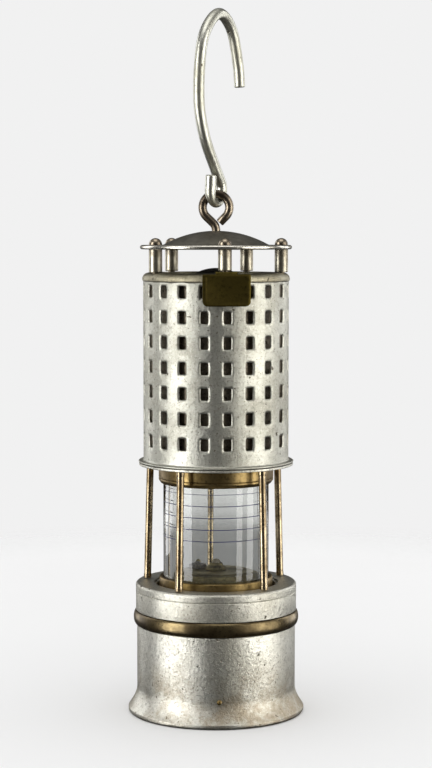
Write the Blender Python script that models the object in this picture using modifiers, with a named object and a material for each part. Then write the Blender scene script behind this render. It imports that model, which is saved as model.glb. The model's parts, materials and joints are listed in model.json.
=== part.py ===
"""A miner's flame safety lamp as separate pieces, standing on its foot with the hook raised.

The world is in metres with +Z up. Lengths below are in millimetres and are scaled where a mesh is
made. The origin is the centre of the foot's rim, the lamp's axis is Z and its front faces -Y.
A bearing is an angle about Z from the front, towards +X.
"""
import math

import bmesh
import bpy
from mathutils import Matrix, Vector

MM = 0.001
GAP = 0.3                       # clearance left between neighbouring pieces
HAIR = 0.00001                  # merge distance on the axis of a turned piece, in metres
LARGE_SIDES = 32                # facets around the body
BONNET_SIDES = 40               # two facets to each column of slots
MEDIUM_SIDES = 20
SMALL_SIDES = 10
SMOOTH_ANGLE = math.radians(35)

# Font: the fuel vessel that the lamp stands on
FOOT_R = 42.0
FONT_R = 37.8
FONT_WALL = 1.6
FONT_TOP_Z = 42.0
FLARE_TOP_Z = 12.0
FLARE_BOTTOM_Z = 2.2
FLOOR_Z = 8.5                   # underside of the vessel's floor
FLOOR_T = 2.0

# Frame: the rings, guard rods and glass that screw onto the font
BEAD_R = 39.4
BEAD_Z = (FONT_TOP_Z + GAP, 48.9)
LOWER_RING_R = 38.3
LOWER_RING_Z = (49.2, 62.1)
NECK_R = 31.5                   # screwed neck of the font
NECK_TOP_Z = 57.2
DRUM_R = 20.0
DRUM_TOP_Z = 68.5
GLASS_R = 25.1
GLASS_WALL = 4.2
GLASS_Z = (60.6, 113.5)
COLLAR_R = 27.3
UPPER_RING_R = 36.6
UPPER_RING_Z = (118.4, 119.5)
UPPER_NECK_R = 33.3
UPPER_NECK_TOP_Z = 125.0

# Bonnet: the perforated cover, its cap, the hood and what hangs on them
BONNET_R = 34.5
BONNET_WALL = 0.8
BONNET_Z = (119.8, 206.7)
BONNET_FLANGE_R = 36.9
CAP_R = 34.9
CAP_WALL = 0.8
CAP_TOP_Z = 209.5
CAP_SKIRT_Z = 205.8
CAP_HOLE_R = 22.5
SLOT_COLUMNS = 20
SLOT_ROWS = 7
SLOT_SIZE = (3.6, 5.5)
SLOT_TOP_ROW_Z = 201.1
SLOT_PITCH_Z = 11.7
SHIELD_R = 31.0
HOOD_R = 36.0
HOOD_BRIM_Z = (221.3, 222.3)
HOOD_RIM_Z = 221.5
HOOD_DOME_R = 25.5              # radius at which the brim turns up into the dome
HOOD_SPHERE_R = 50.6
HOOD_SHEET = 1.0
POST_R = 3.15
POST_RING_R = 31.2
POST_COUNT = 5
POST_FIRST_BEARING = 7.5
RIVET_R = 1.6
RIVET_HOLE_R = RIVET_R + GAP
TAG_SIZE = (22.2, 15.4)
TAG_T = 0.8
TAG_BOTTOM_Z = 194.8

# Guard rods
PILLAR_COUNT = 5
PILLAR_R = 1.85
PILLAR_FIRST_BEARING = -30.5
PILLAR_FOOT_RING_R = 33.8
PILLAR_HEAD_RING_R = 32.3

# Suspension
EYE_WIRE_R = 2.05
EYE_LOOP_R = 6.3
EYE_CENTRE_Z = 240.2
HOOK_WIRE_R = 2.65
HOOK_LOOP_R = 5.65
HOOK_LOOP_Z = 247.6             # centre of the hook's lower loop
HOOK_WEAR = 0.265               # share of the wire worn away where the hook rubs on the eye
HOOK_PLANE_TURN = 62.0          # the hook's plane, in degrees from the XZ plane
HOOK_PIVOT_Z = EYE_CENTRE_Z + EYE_LOOP_R

# Controls worked from under the base, as x and y on the floor
WICK_DRIVE_XY = (9.0, 0.0)
IGNITER_XY = (-9.0, 5.0)
FILLER_XY = (0.0, -20.0)
FILLER_HOLE_R = 6.4
SPINDLE_R = 1.5
LOCK_RING_R = 33.7              # distance of the lock bolt from the lamp's axis, at the back

COLOURS = {                     # base colour, roughness, metallic
    "aluminium": ((0.60, 0.58, 0.53), 0.42, 1.0),
    "cap_aluminium": ((0.56, 0.52, 0.42), 0.40, 1.0),
    "hood_metal": ((0.16, 0.15, 0.13), 0.45, 1.0),
    "hook_metal": ((0.68, 0.67, 0.62), 0.35, 1.0),
    "brass": ((0.42, 0.30, 0.13), 0.35, 1.0),
    "bronze": ((0.20, 0.15, 0.09), 0.38, 1.0),
    "tag_brass": ((0.14, 0.11, 0.04), 0.50, 1.0),
    "steel": ((0.30, 0.29, 0.28), 0.40, 1.0),
    "gauze": ((0.08, 0.07, 0.06), 0.60, 1.0),
    "glass": ((0.85, 0.90, 0.88), 0.05, 0.0),
    "rubber": ((0.05, 0.05, 0.05), 0.80, 0.0),
    "cotton": ((0.75, 0.72, 0.65), 0.95, 0.0),
    "flint": ((0.10, 0.10, 0.11), 0.60, 0.0),
}


# Scene

def clear_scene():
    for item in list(bpy.data.objects):
        bpy.data.objects.remove(item, do_unlink=True)


def new_collection(name):
    collection = bpy.data.collections.new(name)
    bpy.context.scene.collection.children.link(collection)
    return collection


def new_material(piece_name, colour_name):
    colour, roughness, metallic = COLOURS[colour_name]
    material = bpy.data.materials.new(piece_name + "_" + colour_name)
    material.use_nodes = True
    shader = material.node_tree.nodes["Principled BSDF"]
    shader.inputs["Base Color"].default_value = (*colour, 1.0)
    shader.inputs["Roughness"].default_value = roughness
    shader.inputs["Metallic"].default_value = metallic
    material.diffuse_color = (*colour, 1.0)
    return material


# Shapes

def place_on_bearing(radius, bearing):
    """The x and y, in millimetres, of a point at a radius and bearing."""
    angle = math.radians(bearing)
    return radius * math.sin(angle), -radius * math.cos(angle)


def arc(centre, radius, start, end, steps):
    """Points along an arc, angles in degrees, radius a number or a pair of half-axes."""
    half_width, half_height = radius if isinstance(radius, tuple) else (radius, radius)
    points = []
    for step in range(steps + 1):
        angle = math.radians(start + (end - start) * step / steps)
        x = centre[0] + half_width * math.cos(angle)
        y = centre[1] + half_height * math.sin(angle)
        points.append((x, y))
    return points


def smooth_route(points, steps):
    """A Catmull-Rom curve through points, with a number of steps between neighbours."""
    vectors = [Vector(point) for point in points]
    ends = [2 * vectors[0] - vectors[1]] + vectors + [2 * vectors[-1] - vectors[-2]]
    route = []
    for before, start, end, after in zip(ends, ends[1:], ends[2:], ends[3:]):
        for step in range(steps):
            t = step / steps
            cubic = 3 * (start - end) + after - before
            square = 2 * before - 5 * start + 4 * end - after
            route.append(tuple(start + 0.5 * t * (end - before + t * (square + t * cubic))))
    route.append(points[-1])
    return route


def shade_round(mesh):
    mesh.shade_smooth()
    mesh.set_sharp_from_angle(angle=SMOOTH_ANGLE)


def evaluated_mesh(source, name):
    """A mesh of an object as its modifiers or bevel leave it, with its loose caps welded on."""
    depsgraph = bpy.context.evaluated_depsgraph_get()
    mesh = bpy.data.meshes.new_from_object(source.evaluated_get(depsgraph))
    mesh.name = name
    cage = bmesh.new()
    cage.from_mesh(mesh)
    bmesh.ops.remove_doubles(cage, verts=cage.verts, dist=HAIR)
    cage.to_mesh(mesh)
    cage.free()
    shade_round(mesh)
    return mesh


def add_piece(name, mesh, colour, location=(0, 0, 0), rotation=(0, 0, 0)):
    """Link a finished mesh as a piece; the location is in millimetres."""
    mesh.materials.clear()
    mesh.materials.append(new_material(name, colour))
    piece = bpy.data.objects.new(name, mesh)
    piece.location = Vector(location) * MM
    piece.rotation_euler = rotation
    PARTS.objects.link(piece)
    return piece


def add_cutter(name, mesh, location=(0, 0, 0), rotation=(0, 0, 0)):
    cutter = bpy.data.objects.new(name, mesh)
    cutter.location = Vector(location) * MM
    cutter.rotation_euler = rotation
    cutter.hide_render = True
    cutter.display_type = "WIRE"
    CUTTERS.objects.link(cutter)
    return cutter


def combine(piece, tool, operation="DIFFERENCE"):
    modifier = piece.modifiers.new(tool.name, "BOOLEAN")
    modifier.operation = operation
    modifier.object = tool


def turned_mesh(name, profile, sides):
    """Turn a profile of (radius, z) about Z.

    The profile runs down the piece's outer side. It is closed into a loop, unless it starts and
    ends on the axis.
    """
    on_axis = profile[0][0] == 0 and profile[-1][0] == 0
    edges = [(index, index + 1) for index in range(len(profile) - 1)]
    if not on_axis:
        edges.append((len(profile) - 1, 0))
    outline = bpy.data.meshes.new(name + "_outline")
    outline.from_pydata([(radius * MM, 0, z * MM) for radius, z in profile], edges, [])
    source = bpy.data.objects.new(name + "_outline", outline)
    bpy.context.scene.collection.objects.link(source)
    screw = source.modifiers.new("turn", "SCREW")
    screw.steps = sides
    screw.render_steps = sides
    screw.use_merge_vertices = True
    screw.merge_threshold = HAIR
    mesh = evaluated_mesh(source, name)
    bpy.data.objects.remove(source, do_unlink=True)
    return mesh


def turned(name, profile, colour, sides=LARGE_SIDES, xy=(0, 0)):
    return add_piece(name, turned_mesh(name, profile, sides), colour, (*xy, 0))


def rod_profile(radius, bottom, top):
    return [(0, top), (radius, top), (radius, bottom), (0, bottom)]


def tube_profile(outer, inner, bottom, top):
    return [(outer, top), (outer, bottom), (inner, bottom), (inner, top)]


def drill(piece, name, radius, bottom, top, xy):
    """Cut an upright round hole."""
    mesh = turned_mesh(name, rod_profile(radius, bottom, top), SMALL_SIDES)
    combine(piece, add_cutter(name, mesh, (*xy, 0)))


def curve_mesh(name, lines, closed, scales=None, **settings):
    """A mesh of a curve through lines of 3-D points, in millimetres; scales thin or swell a wire."""
    curve = bpy.data.curves.new(name, "CURVE")
    curve.use_fill_caps = True
    for line in lines:
        spline = curve.splines.new("POLY")
        spline.points.add(len(line) - 1)
        spline.use_cyclic_u = closed
        for point, place in zip(spline.points, line):
            point.co = (*(Vector(place) * MM), 1)
        if scales:
            spline.points.foreach_set("radius", scales)
    for setting, value in settings.items():
        setattr(curve, setting, value)
    source = bpy.data.objects.new(name, curve)
    bpy.context.scene.collection.objects.link(source)
    mesh = evaluated_mesh(source, name)
    bpy.data.objects.remove(source, do_unlink=True)
    return mesh


def wire_mesh(name, route, radius, scales=None, resolution=2):
    return curve_mesh(name, [route], False, scales, dimensions="3D", bevel_depth=radius * MM,
                      bevel_resolution=resolution)


def plate_mesh(name, outlines, thickness):
    """A flat plate, centred on z = 0, of one outline and any holes inside it."""
    lines = [[(x, y, 0) for x, y in outline] for outline in outlines]
    return curve_mesh(name, lines, True, dimensions="2D", fill_mode="BOTH", extrude=thickness * MM / 2)


def circle(radius, sides, centre=(0, 0)):
    return arc(centre, radius, 0, 360, sides)[:-1]


def serrated(outer, inner, teeth):
    """A closed outline of points by turns on two radii."""
    points = []
    for index in range(2 * teeth):
        angle = math.pi * index / teeth
        radius = outer if index % 2 == 0 else inner
        points.append((radius * math.cos(angle), radius * math.sin(angle)))
    return points


def hang_on(name, location, pieces):
    """Parent pieces to an empty on their joint's axis, without moving them."""
    empty = bpy.data.objects.new(name, None)
    empty.location = Vector(location) * MM
    PARTS.objects.link(empty)
    shift = Matrix.Translation(-empty.location)
    for piece in pieces:
        piece.parent = empty
        piece.matrix_parent_inverse = shift
    return empty


# Font

def flare_radius(z):
    """Outer radius of the font's wall, which sweeps out to the foot."""
    if z >= FLARE_TOP_Z:
        return FONT_R
    share = (FLARE_TOP_Z - z) / (FLARE_TOP_Z - FLARE_BOTTOM_Z)
    return FONT_R + (FOOT_R - FONT_R) * share ** 1.8


def font_shell():
    steps = 4
    drop = FLARE_TOP_Z - FLARE_BOTTOM_Z
    flare = []
    for step in range(steps + 1):
        z = FLARE_TOP_Z - drop * step / steps
        flare.append((flare_radius(z), z))
    rim = [(FOOT_R - 0.3, 0.8), (FOOT_R - 1.1, 0.0), (FOOT_R - 2.6, 0.0)]
    inside = [(flare_radius(z) - FONT_WALL, z) for z in (3.5, 7.5)]
    inner_r = FONT_R - FONT_WALL
    profile = [(FONT_R, FONT_TOP_Z)] + flare + rim + inside
    profile += [(inner_r, FLARE_TOP_Z), (inner_r, FONT_TOP_Z)]
    return turned("font_shell", profile, "aluminium")


def font_bottom():
    """The vessel's floor: a plate with an upright rim, bored for the spindles and the filler."""
    outer_r = FONT_R - FONT_WALL - GAP
    rim_inner_r = outer_r - 1.5
    rim_top_z = 15.0
    floor_top_z = FLOOR_Z + FLOOR_T
    profile = [(0, floor_top_z), (rim_inner_r, floor_top_z), (rim_inner_r, rim_top_z),
               (outer_r, rim_top_z), (outer_r, FLOOR_Z), (0, FLOOR_Z)]
    floor = turned("font_bottom", profile, "aluminium")
    below, above = FLOOR_Z - 2, floor_top_z + 2
    drill(floor, "wick_spindle_hole", SPINDLE_R + GAP, below, above, WICK_DRIVE_XY)
    drill(floor, "igniter_spindle_hole", SPINDLE_R + GAP, below, above, IGNITER_XY)
    drill(floor, "filler_hole", FILLER_HOLE_R, below, above, FILLER_XY)
    return floor


def base_pin(shell, floor):
    """A short brass pin through the wall into the floor's rim, at the front."""
    pin_z = 12.2
    pin_r = 1.3
    bearing = 2.4
    inner, outer = 33.8, FONT_R + 0.7
    turn = Matrix.Rotation(math.radians(bearing), 3, "Z") @ Matrix.Rotation(math.radians(90), 3, "X")
    rotation = turn.to_euler()
    profile = [(0, outer), (0.8, outer - 0.2), (pin_r, outer - 0.6), (pin_r, inner), (0, inner)]
    pin = add_piece("base_pin", turned_mesh("base_pin", profile, SMALL_SIDES), "brass",
                    (0, 0, pin_z), rotation)
    hole = turned_mesh("base_pin_hole", rod_profile(pin_r + GAP, inner - 2, outer + 2), SMALL_SIDES)
    cutter = add_cutter("base_pin_hole", hole, (0, 0, pin_z), rotation)
    combine(shell, cutter)
    combine(floor, cutter)
    return pin


def font_top():
    """The vessel's top: a screwed neck with the raised burner drum, and the lock's bore."""
    plug_r = FONT_R - FONT_WALL - GAP
    plug_bottom_z = 34.0
    skirt_r = 31.3
    sheet = 1.8
    shoulder_z = BEAD_Z[1]
    profile = [
        (3.5, DRUM_TOP_Z), (DRUM_R - 0.8, DRUM_TOP_Z), (DRUM_R, DRUM_TOP_Z - 0.8),
        (DRUM_R, NECK_TOP_Z), (NECK_R, NECK_TOP_Z), (NECK_R, shoulder_z), (36.3, shoulder_z),
        (36.3, BEAD_Z[0]), (plug_r, BEAD_Z[0]), (plug_r, plug_bottom_z), (skirt_r, plug_bottom_z),
        (skirt_r, 46.0), (NECK_R - sheet, 47.0), (NECK_R - sheet, NECK_TOP_Z - sheet),
        (DRUM_R - sheet, NECK_TOP_Z - sheet), (DRUM_R - sheet, DRUM_TOP_Z - sheet),
        (3.5, DRUM_TOP_Z - sheet)]
    top = turned("font_top", profile, "brass")
    drum_top = DRUM_TOP_Z
    drill(top, "igniter_deck_hole", SPINDLE_R + GAP, drum_top - 4, drum_top + 2, IGNITER_XY)
    lock_xy = place_on_bearing(LOCK_RING_R, 180)
    drill(top, "lock_bore", 1.7, plug_bottom_z - 2, 47.5, lock_xy)
    drill(top, "lock_mouth", 1.4, 46.5, shoulder_z + 2, lock_xy)
    return top


def bead_ring():
    mid_z = (BEAD_Z[0] + BEAD_Z[1]) / 2
    half = (BEAD_Z[1] - BEAD_Z[0]) / 2
    profile = arc((BEAD_R - 1.4, mid_z), (1.4, half), 90, -90, 4)
    profile += [(36.6, BEAD_Z[0]), (36.6, BEAD_Z[1])]
    return turned("bead_ring", profile, "bronze")


def cotton_packing():
    """Wadding that fills the vessel around the wick's drive."""
    profile = [(15.5, 44.0), (27.0, 43.0), (30.3, 33.0), (33.4, 33.0), (33.4, 13.0), (15.5, 13.0)]
    return turned("cotton_packing", profile, "cotton", MEDIUM_SIDES)


# Burner

def wick_tube():
    profile = [(3.2, 72.0), (3.2, 69.9), (4.8, 69.9), (4.8, DRUM_TOP_Z + GAP), (3.2, DRUM_TOP_Z + GAP),
               (3.2, 52.0), (2.5, 52.0), (2.5, 72.0)]
    return turned("wick_tube", profile, "brass", SMALL_SIDES)


def wick():
    profile = [(0, 73.8), (1.5, 73.4), (2.2, 72.6), (2.2, 16.0), (0, 16.0)]
    return turned("wick", profile, "cotton", SMALL_SIDES)


def wick_carrier():
    """A link that holds the wick at one end and rides on the spindle's thread at the other."""
    reach = WICK_DRIVE_XY[0]
    outline = arc((0, 0), 4.4, 90, 270, 8) + arc((reach, 0), 3.6, -90, 90, 8)
    holes = [circle(2.5, 12), circle(SPINDLE_R + GAP, 12, (reach, 0))]
    return add_piece("wick_carrier", plate_mesh("wick_carrier", [outline] + holes, 2.5), "brass",
                     (0, 0, 47.0))


def knob(name, radius, teeth, bottom, top, xy):
    """A knurled knob, flat on both faces."""
    mesh = plate_mesh(name, [serrated(radius, radius - 0.5, teeth)], top - bottom)
    return add_piece(name, mesh, "brass", (*xy, (bottom + top) / 2))


def wick_drive():
    spindle = turned("wick_rod", rod_profile(SPINDLE_R, 7.8, 53.5), "steel", SMALL_SIDES, WICK_DRIVE_XY)
    return [spindle, knob("wick_knob", 6.0, 18, 1.4, 7.5, WICK_DRIVE_XY)]


def igniter():
    """The relighter: a spindle with a serrated striker wheel above the deck and a key below."""
    spindle = turned("igniter_rod", rod_profile(SPINDLE_R, 7.8, 71.6), "steel", SMALL_SIDES, IGNITER_XY)
    outlines = [serrated(4.2, 3.7, 16), circle(SPINDLE_R + GAP, 12)]
    wheel_mesh = plate_mesh("striker_wheel", outlines, 1.6)
    wheel = add_piece("striker_wheel", wheel_mesh, "steel", (*IGNITER_XY, 70.0))
    wing = arc((3.2, 0), 2.2, -90, 90, 5) + arc((-3.2, 0), 2.2, 90, 270, 5)
    key_mesh = plate_mesh("igniter_key", [wing], 6.1)
    key = add_piece("igniter_key", key_mesh, "brass", (*IGNITER_XY, 4.45))
    return [spindle, wheel, key]


def flint_holder():
    """A little tube on the deck that presses the flint against the striker wheel."""
    flint_z = 70.2
    away = IGNITER_XY[1]
    rotation = (math.radians(-90), 0, 0)
    place = (IGNITER_XY[0], 0, flint_z)
    tube_mesh = turned_mesh("flint_tube", tube_profile(1.3, 0.95, away + 5.2, away + 11), SMALL_SIDES)
    tube = add_piece("flint_tube", tube_mesh, "brass", place, rotation)
    flint_mesh = turned_mesh("flint", rod_profile(0.65, away + 4.5, away + 9), SMALL_SIDES)
    flint = add_piece("flint", flint_mesh, "flint", place, rotation)
    return [tube, flint]


def filler():
    """The slotted filler plug and its sealing washer, in the floor."""
    head_z = (3.4, 6.9)
    plug_r = FILLER_HOLE_R - 2 * GAP
    profile = [(0, 12.5), (plug_r - 0.6, 12.5), (plug_r, 11.9), (plug_r, head_z[1]), (8.5, head_z[1]),
               (8.5, head_z[0]), (0, head_z[0])]
    cap = turned("filler_cap", profile, "brass", MEDIUM_SIDES, FILLER_XY)
    slot_mesh = plate_mesh("filler_slot", [[(-10, -0.8), (10, -0.8), (10, 0.8), (-10, 0.8)]], 3.0)
    combine(cap, add_cutter("filler_slot", slot_mesh, (*FILLER_XY, head_z[0])))
    seal = tube_profile(8.4, FILLER_HOLE_R, 7.2, 8.2)
    washer = turned("filler_washer", seal, "rubber", MEDIUM_SIDES, FILLER_XY)
    return cap, washer


# Lock

def lock():
    """A sprung iron bolt that holds the lower ring; a magnet outside draws it down."""
    xy = place_on_bearing(LOCK_RING_R, 180)
    bolt_profile = [(0, 52.0), (0.7, 52.0), (1.1, 51.5), (1.1, 44.0), (1.4, 44.0), (1.4, 42.5), (0, 42.5)]
    bolt = turned("lock_bolt", bolt_profile, "steel", SMALL_SIDES, xy)
    plug = turned("lock_plug", rod_profile(1.4, 34.3, 36.3), "brass", SMALL_SIDES, xy)
    turns, steps = 4, 8
    coil_r, wire_r = 1.1, 0.2
    low, high = 36.3 + GAP + wire_r, 42.5 - GAP - wire_r
    route = []
    for step in range(turns * steps + 1):
        angle = 2 * math.pi * step / steps
        z = low + (high - low) * step / (turns * steps)
        route.append((coil_r * math.cos(angle), coil_r * math.sin(angle), z))
    coil = wire_mesh("lock_spring", route, wire_r, resolution=1)
    spring = add_piece("lock_spring", coil, "steel", (*xy, 0))
    return bolt, plug, spring


# Frame

def lower_ring():
    bottom, top = LOWER_RING_Z
    web_z = 59.3
    bore_r = NECK_R + GAP
    profile = [(LOWER_RING_R - 0.6, top), (LOWER_RING_R, top - 0.6), (LOWER_RING_R, bottom),
               (bore_r, bottom), (bore_r, web_z), (28.5, web_z), (28.5, top)]
    ring = turned("lower_ring", profile, "aluminium")
    drill(ring, "lock_pocket", 1.5, bottom - 2, 53.0, place_on_bearing(LOCK_RING_R, 180))
    return ring


def pillars():
    """Guard rods that splay outwards towards their feet."""
    foot_z, head_z = LOWER_RING_Z[1] + GAP, UPPER_RING_Z[0] - GAP
    rise = head_z - foot_z
    lean = PILLAR_FOOT_RING_R - PILLAR_HEAD_RING_R
    length = math.hypot(rise, lean) - 2 * PILLAR_R * lean / rise
    profile = rod_profile(PILLAR_R, -length / 2, length / 2)
    rods = []
    for index in range(PILLAR_COUNT):
        name = "pillar_%d" % (index + 1)
        bearing = PILLAR_FIRST_BEARING + 360 * index / PILLAR_COUNT
        x, y = place_on_bearing((PILLAR_FOOT_RING_R + PILLAR_HEAD_RING_R) / 2, bearing)
        mesh = turned_mesh(name, profile, SMALL_SIDES)
        slope = Matrix.Rotation(-math.atan(lean / rise), 3, "X")
        tilt = Matrix.Rotation(math.radians(bearing), 3, "Z") @ slope
        rods.append(add_piece(name, mesh, "brass", (x, y, (foot_z + head_z) / 2), tilt.to_euler()))
    return rods


def glass_and_seats():
    inner_r = GLASS_R - GLASS_WALL
    bottom, top = GLASS_Z
    glass = turned("glass", tube_profile(GLASS_R, inner_r, bottom, top), "glass")
    seal_outer, seal_inner = GLASS_R - 0.1, inner_r + 0.4
    lower_seal = turned("bottom_gasket", tube_profile(seal_outer, seal_inner, bottom - 1.3, bottom - GAP),
                        "rubber", MEDIUM_SIDES)
    upper_seal = turned("top_gasket", tube_profile(seal_outer, seal_inner, top + GAP, top + 1.3),
                        "rubber", MEDIUM_SIDES)
    cup_r = GLASS_R + GAP
    foot_z = NECK_TOP_Z + GAP
    seat_z = bottom - 1.6
    lower_profile = [(27.0, 65.1), (27.0, seat_z), (NECK_R - 0.2, seat_z), (NECK_R - 0.2, foot_z),
                     (inner_r + GAP, foot_z), (inner_r + GAP, seat_z), (cup_r, seat_z), (cup_r, 65.1)]
    lower_collar = turned("bottom_collar", lower_profile, "brass")
    head_z = UPPER_RING_Z[0] - GAP
    web_z = top + 1.6
    upper_profile = [(COLLAR_R, head_z), (COLLAR_R, 111.3), (COLLAR_R - 1.0, 109.8), (cup_r, 109.8),
                     (cup_r, web_z), (inner_r - GAP, web_z), (inner_r - GAP, head_z)]
    upper_collar = turned("top_collar", upper_profile, "brass")
    return [glass, lower_seal, upper_seal, lower_collar, upper_collar]


def upper_ring():
    rim_bottom, rim_top = UPPER_RING_Z
    ledge_z = 121.0
    bore_r = GLASS_R - GLASS_WALL - GAP
    profile = [(UPPER_NECK_R, UPPER_NECK_TOP_Z), (UPPER_NECK_R, rim_top), (UPPER_RING_R, rim_top),
               (UPPER_RING_R, rim_bottom), (bore_r, rim_bottom), (bore_r, ledge_z), (29.0, ledge_z),
               (29.0, UPPER_NECK_TOP_Z)]
    return turned("upper_ring", profile, "aluminium")


def gauze(name, radius, flange_z, crown_z):
    """A wire gauze cap: a flange, a straight side and a domed crown."""
    sheet = 0.6
    flange_r = 28.6
    inner_r = radius - sheet
    shoulder_z = crown_z - radius
    dome = arc((0, shoulder_z), radius, 90, 0, 4)
    inner_dome = arc((0, shoulder_z), inner_r, 0, 90, 4)
    dome[0] = (0, crown_z)
    inner_dome[-1] = (0, crown_z - sheet)
    profile = dome + [(radius, flange_z + sheet), (flange_r, flange_z + sheet), (flange_r, flange_z),
                      (inner_r, flange_z)] + inner_dome
    return turned(name, profile, "gauze", MEDIUM_SIDES)


def gauzes():
    inner = gauze("inner_gauze", 17.8, 121.3, 204.0)
    outer = gauze("outer_gauze", 21.0, 122.2, 211.7)
    ring = turned("gauze_ring", tube_profile(28.6, 23.0, 123.1, UPPER_NECK_TOP_Z), "brass", MEDIUM_SIDES)
    return [inner, outer, ring]


# Bonnet

def slot_cutter():
    """One box for each slot, in rows around the bonnet's wall."""
    width, height = SLOT_SIZE
    depth = 4.0
    cage = bmesh.new()
    for row in range(SLOT_ROWS):
        z = SLOT_TOP_ROW_Z - SLOT_PITCH_Z * row
        for column in range(SLOT_COLUMNS):
            bearing = 360 * (column + 0.5) / SLOT_COLUMNS
            x, y = place_on_bearing(BONNET_R, bearing)
            place = Matrix.Translation(Vector((x, y, z)) * MM)
            turn = Matrix.Rotation(math.radians(bearing), 4, "Z")
            size = Matrix.Diagonal((width * MM, depth * MM, height * MM, 1))
            bmesh.ops.create_cube(cage, size=1, matrix=place @ turn @ size)
    mesh = bpy.data.meshes.new("bonnet_slots")
    cage.to_mesh(mesh)
    cage.free()
    return add_cutter("bonnet_slots", mesh)


def bonnet():
    """The perforated cylinder, with a flange at its foot and a neck that enters the cap."""
    bottom, top = BONNET_Z
    inner_r = BONNET_R - BONNET_WALL
    neck_r = CAP_R - CAP_WALL - GAP
    neck_z = CAP_SKIRT_Z - GAP
    profile = [(neck_r, top), (neck_r, neck_z), (BONNET_R, neck_z), (BONNET_R, bottom + BONNET_WALL),
               (BONNET_FLANGE_R, bottom + BONNET_WALL), (BONNET_FLANGE_R, bottom), (inner_r, bottom),
               (inner_r, neck_z - 0.8), (neck_r - 0.7, neck_z - 0.8), (neck_r - 0.7, top)]
    wall = turned("bonnet", profile, "aluminium", BONNET_SIDES)
    wall.rotation_euler.z = math.pi / BONNET_SIDES
    combine(wall, slot_cutter())
    return wall


def inner_shield():
    profile = tube_profile(SHIELD_R, SHIELD_R - 0.6, UPPER_NECK_TOP_Z + GAP, BONNET_Z[1])
    return turned("inner_shield", profile, "aluminium")


def bonnet_cap():
    """The pressed cap: a ring-shaped top with a rounded shoulder and a short skirt."""
    shoulder = 3.0
    inner_shoulder = shoulder - CAP_WALL
    centre = (CAP_R - shoulder, CAP_TOP_Z - shoulder)
    profile = [(CAP_HOLE_R, CAP_TOP_Z)]
    profile += arc(centre, shoulder, 90, 0, 3)
    profile += [(CAP_R, CAP_SKIRT_Z), (CAP_R - CAP_WALL, CAP_SKIRT_Z)]
    profile += arc(centre, inner_shoulder, 0, 90, 2)
    profile += [(CAP_HOLE_R, CAP_TOP_Z - CAP_WALL)]
    return turned("bonnet_cap", profile, "cap_aluminium")


def hood():
    """A shallow dome with a flat brim and a rolled rim, hung on the eye's shank at its centre."""
    hole_r = EYE_WIRE_R + GAP
    low, high = HOOD_BRIM_Z
    drop = math.sqrt(HOOD_SPHERE_R ** 2 - HOOD_DOME_R ** 2)
    centre_z = high - drop
    rim_r = 1.0

    def dome(sphere_r, start_r, end_r, steps):
        points = []
        for step in range(steps + 1):
            radius = start_r + (end_r - start_r) * step / steps
            points.append((radius, centre_z + math.sqrt(sphere_r ** 2 - radius ** 2)))
        return points

    profile = dome(HOOD_SPHERE_R, hole_r, HOOD_DOME_R, 4)
    profile += arc((HOOD_R - rim_r, HOOD_RIM_Z), rim_r, 80, -90, 3)
    profile += [(HOOD_R - 1.8, low), (HOOD_DOME_R, low)]
    profile += dome(HOOD_SPHERE_R - HOOD_SHEET, HOOD_DOME_R - 0.6, hole_r, 3)
    return turned("hood", profile, "hood_metal")


def tag():
    """A flat name plate on the front, with a tab folded back over the cap and held by a post."""
    width, height = TAG_SIZE
    corner = 2.2
    plate_r = BONNET_FLANGE_R - 0.6
    half = width / 2
    face = arc((half - corner, corner), corner, -90, 0, 4)
    face += [(half, height), (-half, height)]
    face += arc((corner - half, corner), corner, 180, 270, 4)
    plate = plate_mesh("tag", [face], TAG_T)
    turn = Matrix.Rotation(math.radians(POST_FIRST_BEARING), 3, "Z")
    upright = turn @ Matrix.Rotation(math.radians(90), 3, "X")
    x, y = place_on_bearing(plate_r, POST_FIRST_BEARING)
    piece = add_piece("tag", plate, "tag_brass", (x, y, TAG_BOTTOM_Z), upright.to_euler())
    tab_half = 5.0
    reach = plate_r - POST_RING_R
    tab = [(tab_half, 0), (tab_half, reach)] + arc((0, reach), tab_half, 0, 180, 8)[1:] + [(-tab_half, 0)]
    hole = circle(RIVET_HOLE_R, 12, (0, reach))
    tab_mesh = plate_mesh("tag_tab", [tab, hole], TAG_T)
    tab_z = CAP_TOP_Z + GAP + TAG_T / 2
    combine(piece, add_cutter("tag_tab", tab_mesh, (x, y, tab_z), turn.to_euler()), "UNION")
    return piece


def posts_and_rivets(cap, cover):
    """Spacer tubes between cap and hood, each with a long domed rivet through all three."""
    pieces = []
    brim_low, brim_high = HOOD_BRIM_Z
    head_z = brim_high + GAP
    head = [(0, head_z + 3.2), (1.8, head_z + 2.8), (3.1, head_z + 1.0), (3.1, head_z), (RIVET_R, head_z)]
    tail_z = CAP_TOP_Z - CAP_WALL - 3 * GAP
    tail = [(RIVET_R, tail_z), (2.0, tail_z), (2.0, tail_z - 0.7), (0, tail_z - 0.7)]
    for index in range(POST_COUNT):
        bearing = POST_FIRST_BEARING + 360 * index / POST_COUNT
        xy = place_on_bearing(POST_RING_R, bearing)
        foot_z = CAP_TOP_Z + GAP
        if index == 0:
            foot_z += TAG_T + GAP
        number = str(index + 1)
        tube = tube_profile(POST_R, RIVET_HOLE_R, foot_z, brim_low - GAP)
        pieces.append(turned("hood_post_" + number, tube, "bronze", SMALL_SIDES, xy))
        pieces.append(turned("hood_rivet_" + number, head + tail, "bronze", SMALL_SIDES, xy))
        drill(cap, "cap_rivet_hole_" + number, RIVET_HOLE_R, CAP_TOP_Z - 2, CAP_TOP_Z + 2, xy)
        drill(cover, "hood_rivet_hole_" + number, RIVET_HOLE_R, brim_low - 2, brim_high + 2, xy)
    return pieces


# Suspension

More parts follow.
